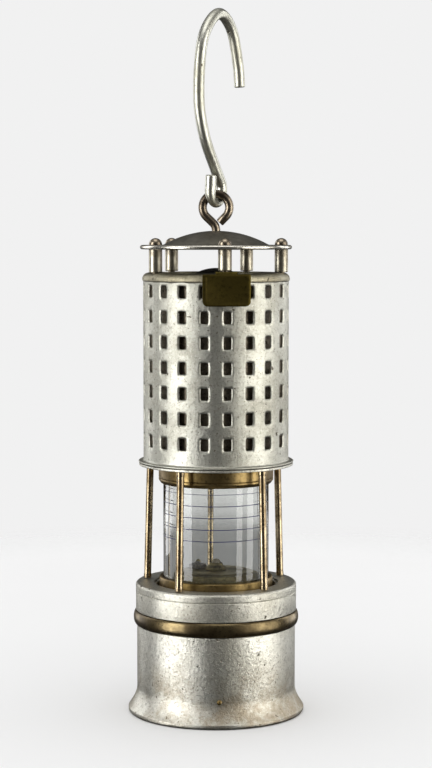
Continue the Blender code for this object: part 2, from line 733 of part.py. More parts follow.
def eye():
    """A wire ring closed like a drop: its left leg runs down as the shank, its right leg meets it."""
    shank_end_z = 223.2
    right_run = 2.8
    shank = [(0, shank_end_z), (0, 229.8), (-0.6, 231.8), (-1.9, 233.3)]
    loop = arc((0, EYE_CENTRE_Z), EYE_LOOP_R, 225, -45, 18)
    last = loop[-1]
    end = (last[0] - right_run, last[1] - right_run)
    route = [(x, 0, z) for x, z in shank + loop + [end]]
    return add_piece("eye", wire_mesh("eye", route, EYE_WIRE_R), "bronze")


def eye_fastening():
    """The washer under the hood and the nut on the shank's end."""
    washer = turned("eye_washer", tube_profile(4.6, EYE_WIRE_R + GAP, 226.5, 227.5), "bronze", MEDIUM_SIDES)
    nut_mesh = plate_mesh("eye_nut", [circle(4.2, 6), circle(EYE_WIRE_R + GAP, 12)], 2.2)
    nut = add_piece("eye_nut", nut_mesh, "bronze", (0, 0, 225.1))
    return [washer, nut]


def hook():
    """The hanging hook, bent in one plane; its local X lies in that plane, across the lamp."""
    pivot = HOOK_PIVOT_Z
    short_leg = [(-5.0, 255.2), (-5.4, 251.2)]
    loop = arc((0, HOOK_LOOP_Z), HOOK_LOOP_R, 180, 360, 8)
    bends = [(5.0, 251.4), (-1.0, 258.9), (-11.7, 273.7), (-16.9, 292.0), (-12.8, 318.0), (1.8, 330.9),
             (15.4, 325.2), (22.4, 309.0), (24.3, 298.0)]
    shank = smooth_route([loop[-1]] + bends, 3)
    route = [(x, 0, z - pivot) for x, z in short_leg + loop[:-1] + shank]
    scales = [1.0] * len(route)
    for index, (_, z) in enumerate(loop[:-1]):
        scales[len(short_leg) + index] = 1 - HOOK_WEAR * (HOOK_LOOP_Z - z) / HOOK_LOOP_R
    turn = (0, 0, math.radians(HOOK_PLANE_TURN))
    wire = wire_mesh("hook", route, HOOK_WIRE_R, scales)
    return add_piece("hook", wire, "hook_metal", (0, 0, pivot), turn)


def build():
    shell = font_shell()
    floor = font_bottom()
    pin = base_pin(shell, floor)
    lock_bolt, lock_plug, lock_spring = lock()
    filler_cap, filler_washer = filler()
    top, bead = font_top(), bead_ring()
    font = [shell, floor, pin, top, bead, cotton_packing(), wick_tube(), lock_plug, lock_spring]
    hang_on("font_body", (0, 0, 0), font + flint_holder())
    hang_on("lock_axis", (*place_on_bearing(LOCK_RING_R, 180), 0), [lock_bolt])
    hang_on("filler_axis", (*FILLER_XY, 0), [filler_cap, filler_washer])
    hang_on("wick_axis", (0, 0, 0), [wick(), wick_carrier()])
    hang_on("wick_drive_axis", (*WICK_DRIVE_XY, 0), wick_drive())
    hang_on("igniter_axis", (*IGNITER_XY, 0), igniter())
    frame = [lower_ring(), upper_ring()] + pillars() + glass_and_seats() + gauzes()
    hang_on("frame_body", (0, 0, LOWER_RING_Z[0]), frame)
    cap, cover = bonnet_cap(), hood()
    top = [bonnet(), inner_shield(), cap, cover, tag()] + posts_and_rivets(cap, cover)
    hang_on("bonnet_body", (0, 0, BONNET_Z[0]), top)
    hang_on("eye_axis", (0, 0, HOOD_BRIM_Z[1]), [eye()] + eye_fastening())
    hang_on("hook_axis", (0, 0, HOOK_PIVOT_Z), [hook()])


clear_scene()
PARTS = new_collection("miners_safety_lamp")
CUTTERS = new_collection("cutters")
build()
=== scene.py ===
import json
import math

import bmesh
import bpy
from mathutils import Matrix, Vector, noise


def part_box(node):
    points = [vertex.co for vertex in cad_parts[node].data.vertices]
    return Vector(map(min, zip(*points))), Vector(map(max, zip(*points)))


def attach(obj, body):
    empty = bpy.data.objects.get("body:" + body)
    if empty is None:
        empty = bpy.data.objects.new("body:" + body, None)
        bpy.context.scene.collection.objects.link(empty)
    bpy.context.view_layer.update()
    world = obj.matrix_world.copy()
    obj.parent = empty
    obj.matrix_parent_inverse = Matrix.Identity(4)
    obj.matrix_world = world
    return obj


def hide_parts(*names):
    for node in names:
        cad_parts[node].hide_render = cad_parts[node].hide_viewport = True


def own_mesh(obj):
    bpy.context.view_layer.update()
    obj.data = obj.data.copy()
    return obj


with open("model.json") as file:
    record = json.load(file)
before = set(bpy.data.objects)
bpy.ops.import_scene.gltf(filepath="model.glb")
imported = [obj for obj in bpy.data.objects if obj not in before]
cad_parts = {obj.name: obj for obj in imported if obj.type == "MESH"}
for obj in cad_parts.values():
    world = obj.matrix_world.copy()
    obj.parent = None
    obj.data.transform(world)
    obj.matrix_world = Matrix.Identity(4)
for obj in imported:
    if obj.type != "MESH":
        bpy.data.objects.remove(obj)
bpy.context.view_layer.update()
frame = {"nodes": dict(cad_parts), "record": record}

# The looks of a miner's safety lamp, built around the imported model. Lengths are in metres, and
# the shapes below are given in millimetres times MM.

MM = 0.001
FULL = 2 * math.pi
ROUND_SIDES = 160               # facets of the large turned pieces
SMALL_SIDES = 48
SMOOTH_ANGLE = math.radians(32)
GUARD_COUNT = 5                 # rods around the glass, and posts under the hood
EYE_WIRE_R = 2.05 * MM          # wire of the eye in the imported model
OUTER_GAUZE_R = 21.0 * MM
INNER_GAUZE_R = 17.8 * MM
GLASS_WALL = 4.2 * MM
BODY_OF = {}
for body_name, members in frame["record"]["behaviour"]["bodies"].items():
    for member in members:
        BODY_OF[member] = body_name
SLOT_OF = {entry["node"]: entry["material_slot"] for entry in frame["record"]["subparts"]}


# Sizes read from the frame

def spread(node):
    """Radius from the axis, bottom and top of a turned node that is centred on the lamp's axis."""
    low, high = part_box(node)
    return high.x, low.z, high.z


def middle(node):
    """Centre of a node's box."""
    low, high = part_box(node)
    return (low + high) / 2


def off_axis(node):
    """Centre (x, y), radius, bottom and top of a turned node that stands beside the lamp's axis."""
    low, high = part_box(node)
    centre = (low + high) / 2
    return (centre.x, centre.y), (high.x - low.x) / 2, low.z, high.z


# Material tools

class Shader:
    """A Principled material with short calls for the nodes that feed it. A colour is a plain triple."""

    def __init__(self, name, **constants):
        self.material = bpy.data.materials.new(name)
        self.material.use_nodes = True
        self.tree = self.material.node_tree
        self.principled = self.tree.nodes["Principled BSDF"]
        for key, value in constants.items():
            self.set(key.replace("_", " "), value)
        self.place = self.add("ShaderNodeTexCoord").outputs["Object"]

    def set(self, socket, value):
        target = self.principled.inputs[socket]
        if isinstance(value, bpy.types.NodeSocket):
            self.tree.links.new(value, target)
        else:
            target.default_value = value

    def add(self, kind, inputs=None, **settings):
        item = self.tree.nodes.new(kind)
        for key, value in settings.items():
            setattr(item, key, value)
        for key, value in (inputs or {}).items():
            if isinstance(value, bpy.types.NodeSocket):
                self.tree.links.new(value, item.inputs[key])
            else:
                item.inputs[key].default_value = value
        return item

    def stretched(self, x, y, z):
        """Object coordinates scaled along each axis."""
        return self.add("ShaderNodeMapping", {"Vector": self.place, "Scale": (x, y, z)}).outputs[0]

    def noise(self, scale, detail=3.0, roughness=0.55, vector=None):
        inputs = {"Vector": vector or self.place, "Scale": scale, "Detail": detail, "Roughness": roughness}
        return self.add("ShaderNodeTexNoise", inputs).outputs[0]

    def ramp(self, value, start, end, low=0.0, high=1.0):
        """A smooth step from low at start to high at end."""
        inputs = {"Value": value, "From Min": start, "From Max": end, "To Min": low, "To Max": high}
        return self.add("ShaderNodeMapRange", inputs, interpolation_type="SMOOTHSTEP").outputs[0]

    def math(self, operation, first, second=0.0):
        return self.add("ShaderNodeMath", {0: first, 1: second}, operation=operation).outputs[0]

    def mix(self, factor, first, second, blend="MIX"):
        item = self.add("ShaderNodeMix", data_type="RGBA", blend_type=blend)
        for index, value in ((0, factor), (6, first), (7, second)):
            if isinstance(value, bpy.types.NodeSocket):
                self.tree.links.new(value, item.inputs[index])
            elif index == 0:
                item.inputs[index].default_value = value
            else:
                item.inputs[index].default_value = (*value, 1.0)
        return item.outputs[2]

    def axis(self, name):
        return self.add("ShaderNodeSeparateXYZ", {0: self.place}).outputs[name]

    def radius(self):
        flat = self.add("ShaderNodeVectorMath", {0: self.place, 1: (1, 1, 0)}, operation="MULTIPLY")
        return self.add("ShaderNodeVectorMath", {0: flat.outputs[0]}, operation="LENGTH").outputs["Value"]

    def bump(self, height, distance, strength=1.0, below=None):
        inputs = {"Height": height, "Distance": distance, "Strength": strength}
        if below:
            inputs["Normal"] = below
        return self.add("ShaderNodeBump", inputs).outputs[0]

    def edges(self, start, end):
        """A mask that is 1 on convex edges."""
        pointed = self.add("ShaderNodeNewGeometry").outputs["Pointiness"]
        return self.ramp(pointed, start, end)


# Materials

def worn_aluminium(name, colour, dark, roughness=0.46, stain_top=None, turned=True, grain=1.0):
    """Pale aluminium with cloudy tarnish, small dark pits, scratches and fine turning lines."""
    shader = Shader(name, Metallic=1.0)
    pit_colour, stain_colour = (0.075, 0.06, 0.04), (0.25, 0.19, 0.115)
    clouds = shader.noise(38.0, 5.0, 0.62)
    mottle = shader.noise(760.0, 5.0, 0.72)
    tint = shader.mix(shader.ramp(clouds, 0.36, 0.72), colour, dark)
    fleck = shader.ramp(mottle, 0.49, 0.66, 0.0, 0.6 * grain)
    tint = shader.mix(fleck, tint, [value * 0.5 for value in dark])
    worn = shader.ramp(shader.noise(900.0, 4.0, 0.7), 0.54, 0.67, 0.0, 0.6 * grain)
    tint = shader.mix(worn, tint, [min(0.95, value * 1.3) for value in colour])
    pits = shader.ramp(shader.noise(1150.0, 2.0, 0.5), 0.70 - 0.03 * grain, 0.755 - 0.03 * grain)
    blots = shader.ramp(shader.noise(330.0, 2.0, 0.5), 0.72 - 0.03 * grain, 0.78 - 0.03 * grain)
    spots = shader.math("MAXIMUM", pits, blots)
    tint = shader.mix(shader.math("MULTIPLY", spots, 0.85), tint, pit_colour)
    if stain_top is not None:
        fade = shader.ramp(shader.axis("Z"), stain_top, 0.0)
        patches = shader.ramp(shader.noise(75.0, 6.0, 0.7), 0.36, 0.66)
        stain = shader.math("MULTIPLY", fade, patches)
        tint = shader.mix(shader.math("MULTIPLY", stain, 0.7), tint, stain_colour)
    shader.set("Base Color", tint)
    rough = shader.ramp(clouds, 0.3, 0.75, roughness - 0.06, roughness + 0.10)
    rough = shader.math("ADD", rough, shader.math("MULTIPLY", spots, 0.25))
    shader.set("Roughness", rough)
    scratches = shader.noise(1.0, 2.0, 0.5, shader.stretched(2600.0, 2600.0, 160.0))
    normal = shader.bump(scratches, 0.00002, 0.35)
    if turned:
        lines = shader.noise(1.0, 3.0, 0.6, shader.stretched(24.0, 24.0, 2600.0))
        normal = shader.bump(lines, 0.00006, 0.5, normal)
    normal = shader.bump(mottle, 0.0004, 0.75 * grain, normal)
    normal = shader.bump(shader.math("SUBTRACT", 1.0, spots), 0.0001, 0.8, normal)
    shader.set("Normal", normal)
    return shader.material


def aged_brass(name, bright, dark, cover=0.5, roughness=0.3):
    """Brass or bronze under a dark skin that is rubbed through on edges and in patches."""
    shader = Shader(name, Metallic=1.0)
    clouds = shader.noise(70.0, 5.0, 0.65)
    grain = shader.noise(650.0, 3.0, 0.6)
    share = shader.ramp(clouds, cover - 0.16, cover + 0.2)
    share = shader.math("MAXIMUM", share, shader.math("MULTIPLY", shader.edges(0.52, 0.60), 0.8))
    tint = shader.mix(share, dark, bright)
    tint = shader.mix(shader.ramp(grain, 0.52, 0.74, 0.0, 0.65), tint, [value * 0.45 for value in dark])
    shader.set("Base Color", tint)
    shader.set("Roughness", shader.ramp(share, 0.0, 1.0, roughness + 0.14, roughness))
    lines = shader.noise(1.0, 2.0, 0.6, shader.stretched(60.0, 60.0, 2600.0))
    normal = shader.bump(lines, 0.00003, 0.4)
    normal = shader.bump(grain, 0.00006, 0.5, normal)
    shader.set("Normal", normal)
    return shader.material


def hood_metal(name, rim_radius):
    """Smoke-darkened sheet, coloured lighter and smoother in patches along the outside of its rolled rim.
    """
    shader = Shader(name, Metallic=1.0)
    clouds = shader.noise(60.0, 6.0, 0.7)
    grain = shader.noise(520.0, 3.0, 0.6)
    tint = shader.mix(shader.ramp(clouds, 0.35, 0.7), (0.12, 0.112, 0.09), (0.20, 0.185, 0.15))
    tint = shader.mix(shader.ramp(grain, 0.5, 0.75, 0.0, 0.5), tint, (0.045, 0.038, 0.028))
    rust = shader.ramp(shader.noise(130.0, 4.0, 0.7), 0.58, 0.72, 0.0, 0.6)
    tint = shader.mix(rust, tint, (0.14, 0.10, 0.055))
    # the outside of the rolled rim gets a lighter, smoother colour in patches
    rim = shader.ramp(shader.radius(), rim_radius - 0.9 * MM, rim_radius - 0.4 * MM)
    bright_rim = shader.math("MULTIPLY", rim, shader.ramp(clouds, 0.34, 0.50, 0.45, 1.0))
    shader.set("Base Color", shader.mix(bright_rim, tint, (0.60, 0.57, 0.50)))
    shader.set("Roughness", shader.ramp(bright_rim, 0.0, 1.0, 0.44, 0.26))
    normal = shader.bump(grain, 0.0001, 0.5)
    shader.set("Normal", shader.bump(clouds, 0.0004, 0.3, normal))
    return shader.material


def gauze_wire(name):
    """Fine woven wire, dark with soot: upright wires around the cylinder crossed by level ones."""
    shader = Shader(name, Metallic=1.0)
    pitch = 1.1 * MM
    bearing = shader.math("ARCTAN2", shader.axis("Y"), shader.axis("X"))
    upright = shader.math("SINE", shader.math("MULTIPLY", bearing, math.pi * OUTER_GAUZE_R / pitch))
    level = shader.math("SINE", shader.math("MULTIPLY", shader.axis("Z"), math.pi / pitch))
    weave = shader.math("MAXIMUM", shader.math("ABSOLUTE", upright), shader.math("ABSOLUTE", level))
    soot = shader.ramp(shader.noise(90.0), 0.35, 0.65)
    wires = shader.mix(soot, (0.15, 0.14, 0.12), (0.06, 0.055, 0.05))
    shader.set("Base Color", shader.mix(shader.ramp(weave, 0.72, 0.9), (0.008, 0.008, 0.008), wires))
    shader.set("Roughness", shader.ramp(soot, 0.0, 1.0, 0.42, 0.65))
    shader.set("Normal", shader.bump(weave, 0.0004, 0.9))
    return shader.material


def clear_glass(name, low, high):
    """Clear glass with a little dust towards both ends."""
    shader = Shader(name, Transmission_Weight=1.0, IOR=1.47)
    height = shader.axis("Z")
    foot = shader.ramp(height, low + 12 * MM, low)
    head = shader.ramp(height, high - 6 * MM, high)
    grime = shader.math("MAXIMUM", foot, head)
    smears = shader.noise(1.0, 5.0, 0.65, shader.stretched(70.0, 70.0, 35.0))
    dust = shader.math("MULTIPLY", shader.ramp(smears, 0.35, 0.75), shader.math("ADD", grime, 0.10))
    shader.set("Base Color", shader.mix(dust, (0.80, 0.81, 0.80), (0.60, 0.585, 0.49)))
    shader.set("Roughness", shader.ramp(dust, 0.0, 1.0, 0.015, 0.32))
    shader.set("Normal", shader.bump(smears, 0.00015, 0.12))
    return shader.material


def painted_line(name, colour):
    shader = Shader(name)
    worn = shader.ramp(shader.noise(160.0, 4.0), 0.3, 0.65)
    shader.set("Base Color", shader.mix(worn, [value * 0.5 for value in colour], colour))
    shader.set("Roughness", shader.ramp(worn, 0.0, 1.0, 0.5, 0.35))
    return shader.material


def plain_steel(name):
    shader = Shader(name, Metallic=1.0)
    clouds = shader.noise(120.0, 4.0)
    tone = shader.ramp(clouds, 0.3, 0.7)
    shader.set("Base Color", shader.mix(tone, (0.20, 0.19, 0.18), (0.42, 0.41, 0.40)))
    shader.set("Roughness", shader.ramp(clouds, 0.3, 0.7, 0.32, 0.5))
    shader.set("Normal", shader.bump(shader.noise(1600.0, 2.0), 0.00003, 0.4))
    return shader.material


def soft_matter(name, light, dark, scale, roughness):
    """Cotton, rubber or flint: a matt body with a fibrous or grainy surface."""
    shader = Shader(name)
    grain = shader.noise(scale, 5.0, 0.7)
    shader.set("Base Color", shader.mix(shader.ramp(grain, 0.3, 0.7), dark, light))
    shader.set("Roughness", shader.ramp(grain, 0.2, 0.8, roughness - 0.1, roughness))
    shader.set("Normal", shader.bump(grain, 0.0003, 0.7))
    return shader.material


HOOD_R = spread("hood")[0]
FONT_STAIN = 34 * MM            # the lamp-oil stain on the font fades out at this height
GLASS_R, GLASS_LOW, GLASS_HIGH = spread("glass")
LOOKS = {
    "aluminium": worn_aluminium("worn_aluminium", (0.445, 0.44, 0.385), (0.32, 0.31, 0.26), 0.39,
                                grain=0.85),
    "ring": worn_aluminium("ring_aluminium", (0.58, 0.57, 0.505), (0.40, 0.38, 0.32), 0.37),
    "font": worn_aluminium("font_aluminium", (0.58, 0.57, 0.51), (0.38, 0.36, 0.30), 0.36, FONT_STAIN),
    "shield": worn_aluminium("shield_aluminium", (0.30, 0.26, 0.20), (0.13, 0.105, 0.07), 0.45),
    "cap_aluminium": worn_aluminium("cap_aluminium", (0.33, 0.305, 0.22), (0.22, 0.195, 0.13), 0.38),
    "hood_metal": hood_metal("hood_metal", HOOD_R),
    "hook_metal": worn_aluminium("hook_aluminium", (0.51, 0.505, 0.445), (0.36, 0.35, 0.28), 0.33,
                                 turned=False, grain=0.4),
    "post_metal": aged_brass("post_metal", (0.48, 0.45, 0.36), (0.16, 0.13, 0.09), 0.50, 0.30),
    "brass": aged_brass("aged_brass", (0.28, 0.20, 0.085), (0.11, 0.075, 0.027), 0.48, 0.34),
    "rod_brass": aged_brass("rod_brass", (0.44, 0.36, 0.235), (0.16, 0.112, 0.058), 0.48, 0.19),
    "bronze": aged_brass("dark_bronze", (0.34, 0.285, 0.21), (0.065, 0.05, 0.036), 0.54, 0.22),
    "bead": aged_brass("bead_bronze", (0.24, 0.185, 0.095), (0.075, 0.055, 0.028), 0.52, 0.25),
    "tag_brass": aged_brass("tag_brass", (0.105, 0.08, 0.018), (0.04, 0.03, 0.008), 0.5, 0.40),
    "burner": aged_brass("sooty_brass", (0.50, 0.43, 0.23), (0.19, 0.16, 0.085), 0.48, 0.42),
    "steel": plain_steel("plain_steel"),
    "gauze": gauze_wire("gauze_wire"),
    "glass": clear_glass("lamp_glass", GLASS_LOW, GLASS_HIGH),
    "line": painted_line("line_paint", (0.02, 0.02, 0.10)),
    "rubber": soft_matter("seal_rubber", (0.045, 0.043, 0.04), (0.02, 0.02, 0.02), 700.0, 0.8),
    "cotton": soft_matter("cotton", (0.62, 0.56, 0.44), (0.30, 0.24, 0.16), 900.0, 0.95),
    "flint": soft_matter("flint", (0.09, 0.09, 0.10), (0.03, 0.03, 0.035), 900.0, 0.6),
}


# Mesh tools

def arc(centre, radius, start, end, steps):
    points = []
    for step in range(steps + 1):
        angle = math.radians(start + (end - start) * step / steps)
        points.append((centre[0] + radius * math.cos(angle), centre[1] + radius * math.sin(angle)))
    return points


def tube_profile(outer, inner, bottom, top):
    return [(outer, top), (outer, bottom), (inner, bottom), (inner, top)]


def rounded(points, radius, closed=True, steps=4):
    """The outline with each corner rounded; an open outline keeps its two ends."""
    result = []
    count = len(points)
    for index, point in enumerate(points):
        if not closed and index in (0, count - 1):
            result.append(point)
            continue
        corner = Vector(point)
        before = Vector(points[index - 1]) - corner
        after = Vector(points[(index + 1) % count]) - corner
        if before.length == 0 or after.length == 0:
            continue
        reach = min(radius, before.length * 0.45, after.length * 0.45)
        start = corner + before.normalized() * reach
        end = corner + after.normalized() * reach
        for step in range(steps + 1):
            t = step / steps
            blended = start * (1 - t) ** 2 + corner * 2 * t * (1 - t) + end * t * t
            result.append(tuple(blended))
    return result


def smooth_route(points, steps):
    """A Catmull-Rom curve through points."""
    vectors = [Vector(point) for point in points]
    ends = [2 * vectors[0] - vectors[1]] + vectors + [2 * vectors[-1] - vectors[-2]]
    route = []
    for before, start, end, after in zip(ends, ends[1:], ends[2:], ends[3:]):
        for step in range(steps):
            t = step / steps
            cubic = 3 * (start - end) + after - before
            square = 2 * before - 5 * start + 4 * end - after
            route.append(start + 0.5 * t * (end - before + t * (square + t * cubic)))
    route.append(vectors[-1])
    return route


def lathe(profile, sides=ROUND_SIDES, closed=True):
    """A mesh turned about Z from (radius, z) points; an open profile starts and ends on the axis."""
    cage = bmesh.new()
    rings = []
    for radius, z in profile:
        if radius < 1e-7:
            rings.append([cage.verts.new((0, 0, z))])
            continue
        ring = []
        for side in range(sides):
            angle = FULL * side / sides
            ring.append(cage.verts.new((radius * math.cos(angle), radius * math.sin(angle), z)))
        rings.append(ring)
    pairs = list(zip(rings, rings[1:]))
    if closed:
        pairs.append((rings[-1], rings[0]))
    for upper, lower in pairs:
        for side in range(sides):
            following = (side + 1) % sides
            if len(upper) == 1 and len(lower) == 1:
                continue
            if len(upper) == 1:
                cage.faces.new((upper[0], lower[side], lower[following]))
            elif len(lower) == 1:
                cage.faces.new((upper[side], lower[0], upper[following]))
            else:
                cage.faces.new((upper[side], lower[side], lower[following], upper[following]))
    return cage


def join_rings(cage, rings, capped=False):
    """Faces from each ring of vertices to the next, with the first and last ring closed if wanted."""
    count = len(rings[0])
    for lower, upper in zip(rings, rings[1:]):
        for index in range(count):
            following = (index + 1) % count
            cage.faces.new((lower[index], lower[following], upper[following], upper[index]))
    if capped:
        cage.faces.new(rings[0][::-1])
        cage.faces.new(rings[-1])


def add_piece(name, cage, look, node, location=(0, 0, 0), rotation=None):
    """Link a cage as a piece that stands for a CAD node and moves with its body."""
    mesh = bpy.data.meshes.new(name)
    bmesh.ops.recalc_face_normals(cage, faces=cage.faces)
    cage.to_mesh(mesh)
    cage.free()
    mesh.shade_smooth()
    mesh.set_sharp_from_angle(angle=SMOOTH_ANGLE)
    mesh.materials.append(LOOKS[look])
    item = bpy.data.objects.new(name, mesh)
    bpy.context.scene.collection.objects.link(item)
    item.location = location
    if rotation:
        item.rotation_euler = rotation
    settle(item, node)
    return item


def settle(item, node):
    """Move a piece with a node's body, and let it stand for the node."""
    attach(item, BODY_OF[node])
    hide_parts(node)


def turned(node, profile, look, sides=ROUND_SIDES, corner=0.25 * MM, closed=True, centre=(0, 0)):
    """A turned piece in place of a node, with its corners rounded."""
    outline = rounded(profile, corner, closed)
    return add_piece(node + "_skin", lathe(outline, sides, closed), look, node, location=(*centre, 0))


def wire(node, route, radius, look, scales=None, location=(0, 0, 0), rotation=(0, 0, 0)):
    """A bent round wire, a little narrower at its two cut ends."""
    cut_scale = 0.82
    curve = bpy.data.curves.new(node + "_skin", "CURVE")
    curve.dimensions = "3D"
    curve.bevel_depth = radius
    curve.bevel_resolution = 8
    curve.use_fill_caps = True
    spline = curve.splines.new("POLY")
    spline.points.add(len(route) - 1)
    scales = list(scales or [1.0] * len(route))
    scales[0] *= cut_scale
    scales[-1] *= cut_scale
    for point, place, scale in zip(spline.points, route, scales):
        point.co = (*place, 1)
        point.radius = scale
    spline.use_smooth = True
    curve.materials.append(LOOKS[look])
    item = bpy.data.objects.new(node + "_skin", curve)
    bpy.context.scene.collection.objects.link(item)
    item.location = location
    item.rotation_euler = rotation
    settle(item, node)


def with_ends(route, step):
    """Add a point close to each end, so that a wire is full width until just before its cut."""
    first = route[0] + (route[1] - route[0]).normalized() * step
    last = route[-1] + (route[-2] - route[-1]).normalized() * step
    return [route[0], first] + list(route[1:-1]) + [last, route[-1]]


def cut(item, cage, name):
    """Cut a cage out of a piece and keep the result as its mesh."""
    mesh = bpy.data.meshes.new(name)
    cage.to_mesh(mesh)
    cage.free()
    tool = bpy.data.objects.new(name, mesh)
    bpy.context.scene.collection.objects.link(tool)
    modifier = item.modifiers.new(name, "BOOLEAN")
    modifier.operation = "DIFFERENCE"
    modifier.object = tool
    depsgraph = bpy.context.evaluated_depsgraph_get()
    result = bpy.data.meshes.new_from_object(item.evaluated_get(depsgraph))
    item.modifiers.clear()
    item.data = result
    result.set_sharp_from_angle(angle=SMOOTH_ANGLE)
    bpy.data.objects.remove(tool, do_unlink=True)


def dress_frame():
    """Give every node the look of its slot, whether it is replaced later or not."""
    for node, item in frame["nodes"].items():
        item.data.materials.clear()
        item.data.materials.append(LOOKS[SLOT_OF[node]])


# Font

def font():
    """The vessel's flared wall, the bead above it, its floor and the pin at the front."""
    radius, _, top = spread("font_shell")
    flare_out, wall = 4.2 * MM, 1.6 * MM
    wall_r = radius - flare_out
    flare_top, flare_bottom = 12.0 * MM, 2.2 * MM
    rim_r = 1.3 * MM

    def flare(z):
        share = max(0.0, (flare_top - z) / (flare_top - flare_bottom))
        return wall_r + flare_out * share ** 1.8

    steps = 16
    heights = [flare_top - (flare_top - flare_bottom) * step / steps for step in range(steps + 1)]
    outside = [(wall_r, top)] + [(flare(z), z) for z in heights]
    rim = arc((radius - rim_r, rim_r), rim_r, -5, -90, 6) + [(radius - 2 * rim_r, 0.0)]
    inside = [(flare(z) - wall, z) for z in (3.5 * MM, 5.5 * MM, 7.5 * MM, 10 * MM)]
    profile = outside + rim + inside + [(wall_r - wall, flare_top), (wall_r - wall, top)]
    turned("font_shell", profile, "font", corner=0.12 * MM)

    radius, bottom, top = spread("bead_ring")
    centre_z, half, depth = (top + bottom) / 2, (top - bottom) / 2, 1.4 * MM
    inner = radius - 2 * depth
    steps = 14
    profile = []
    for step in range(steps + 1):
        angle = math.radians(90 - 180 * step / steps)
        profile.append((radius - depth * (1 - math.cos(angle)), centre_z + half * math.sin(angle)))
    turned("bead_ring", profile + [(inner, bottom), (inner, top)], "bead", corner=0.1 * MM)

    radius, bottom, top = spread("font_bottom")
    inner = radius - 1.5 * MM
    floor_top = bottom + 2 * MM
    groove_z = bottom + 0.5 * MM
    profile = [(0, floor_top), (inner, floor_top), (inner, top), (radius, top), (radius, bottom),
               (radius - 3 * MM, bottom), (radius - 4 * MM, groove_z), (radius - 6 * MM, groove_z),
               (radius - 7 * MM, bottom), (0, bottom)]
    turned("font_bottom", profile, "font", closed=False)

    low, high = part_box("base_pin")
    centre = (low + high) / 2
    half, pin_r = (high.y - low.y) / 2, (high.z - low.z) / 2
    cap = arc((0, half - 0.6 * MM), pin_r, 80, 0, 5)
    profile = rounded([(0, half)] + cap + [(pin_r, -half), (0, -half)], 0.05 * MM, False)
    outwards = Matrix.Rotation(math.radians(90), 4, "X")
    turn = Matrix.Rotation(math.atan2(centre.x, -centre.y), 4, "Z") @ outwards
    cage = lathe(profile, SMALL_SIDES, False)
    add_piece("base_pin_skin", cage, "brass", "base_pin", location=centre, rotation=turn.to_euler())


def burner():
    """The screwed neck and the raised drum that carries the wick and the relighter."""
    outer, bottom, top = spread("font_top")
    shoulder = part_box("bead_ring")[1].z
    neck_r = spread("bottom_collar")[0] + 0.2 * MM
    neck_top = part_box("bottom_collar")[0].z - 0.3 * MM
    drum_r = GLASS_R - GLASS_WALL - 0.9 * MM
    sheet, wick_hole, drum_bevel = 1.8 * MM, 3.4 * MM, 2.2 * MM
    thread, threads, thread_depth = [], 6, 0.45 * MM
    pitch = (neck_top - shoulder - 2 * MM) / threads
    for index in range(threads):
        z = neck_top - 1 * MM - index * pitch
        thread += [(neck_r, z), (neck_r - thread_depth, z - pitch / 2)]
    drum = [(drum_r - drum_bevel - 0.4 * MM, top), (drum_r - drum_bevel, top - 0.5 * MM),
            (drum_r, top - 0.8 * MM), (drum_r, neck_top)]
    profile = [(wick_hole, top)] + drum + [(neck_r - 0.5 * MM, neck_top)] + thread
    profile += [(neck_r - 0.4 * MM, shoulder), (outer, shoulder), (outer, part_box("bead_ring")[0].z),
                (outer - 0.4 * MM, bottom), (neck_r, bottom), (neck_r - sheet, neck_top - sheet),
                (drum_r - sheet, neck_top - sheet), (drum_r - sheet, top - sheet), (wick_hole, top - sheet)]
    turned("font_top", profile, "burner")

    deck = top
    radius, bottom, top = spread("wick_tube")
    outer, inner = 3.2 * MM, 2.5 * MM
    profile = [(outer, top - 0.4 * MM), (outer, deck + 2.6 * MM), (radius, deck + 1.4 * MM),
               (radius, deck + 0.3 * MM), (outer, deck + 0.3 * MM), (outer, bottom), (inner, bottom),
               (inner, top), (outer - 0.3 * MM, top)]
    turned("wick_tube", profile, "burner", SMALL_SIDES)

    radius, bottom, top = spread("wick")
    crown = [(0, top), (radius * 0.7, top - 0.4 * MM), (radius, top - 1.4 * MM)]
    turned("wick", crown + [(radius, bottom), (0, bottom)], "cotton", SMALL_SIDES, 0.6 * MM, closed=False)

    for node in ("igniter_rod", "wick_rod"):
        centre, radius, bottom, top = off_axis(node)
        profile = [(0, top), (radius, top), (radius, bottom), (0, bottom)]
        turned(node, profile, "steel", SMALL_SIDES, 0.4 * MM, False, centre)

    low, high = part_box("flint_tube")
    radius, half, wall = (high.z - low.z) / 2, (high.y - low.y) / 2, 0.4 * MM
    profile = rounded(tube_profile(radius, radius - wall, -half, half), 0.1 * MM)
    add_piece("flint_tube_skin", lathe(profile, SMALL_SIDES), "burner", "flint_tube",
              location=(low + high) / 2, rotation=(math.radians(-90), 0, 0))


def toothed_disc(outer, root, hole, height, teeth, bevel):
    """A disc with rounded teeth around its edge, bevelled above and below, and a hole if wanted."""
    count = teeth * 6
    toothed = []
    for index in range(count):
        crest = (0.5 + 0.5 * math.cos(teeth * FULL * index / count)) ** 0.6
        toothed.append(root + (outer - root) * crest)
    shoulder = [min(radius, root - bevel) for radius in toothed]
    levels = [(shoulder, 0.0), (toothed, bevel), (toothed, height - bevel), (shoulder, height)]
    if hole:
        levels += [([hole] * count, height), ([hole] * count, 0.0)]
    cage = bmesh.new()
    rings = []
    for radii, z in levels:
        ring = []
        for index, radius in enumerate(radii):
            angle = FULL * index / count
            ring.append(cage.verts.new((radius * math.cos(angle), radius * math.sin(angle), z)))
        rings.append(ring)
    if hole:
        rings.append(rings[0])
    join_rings(cage, rings, capped=not hole)
    return cage


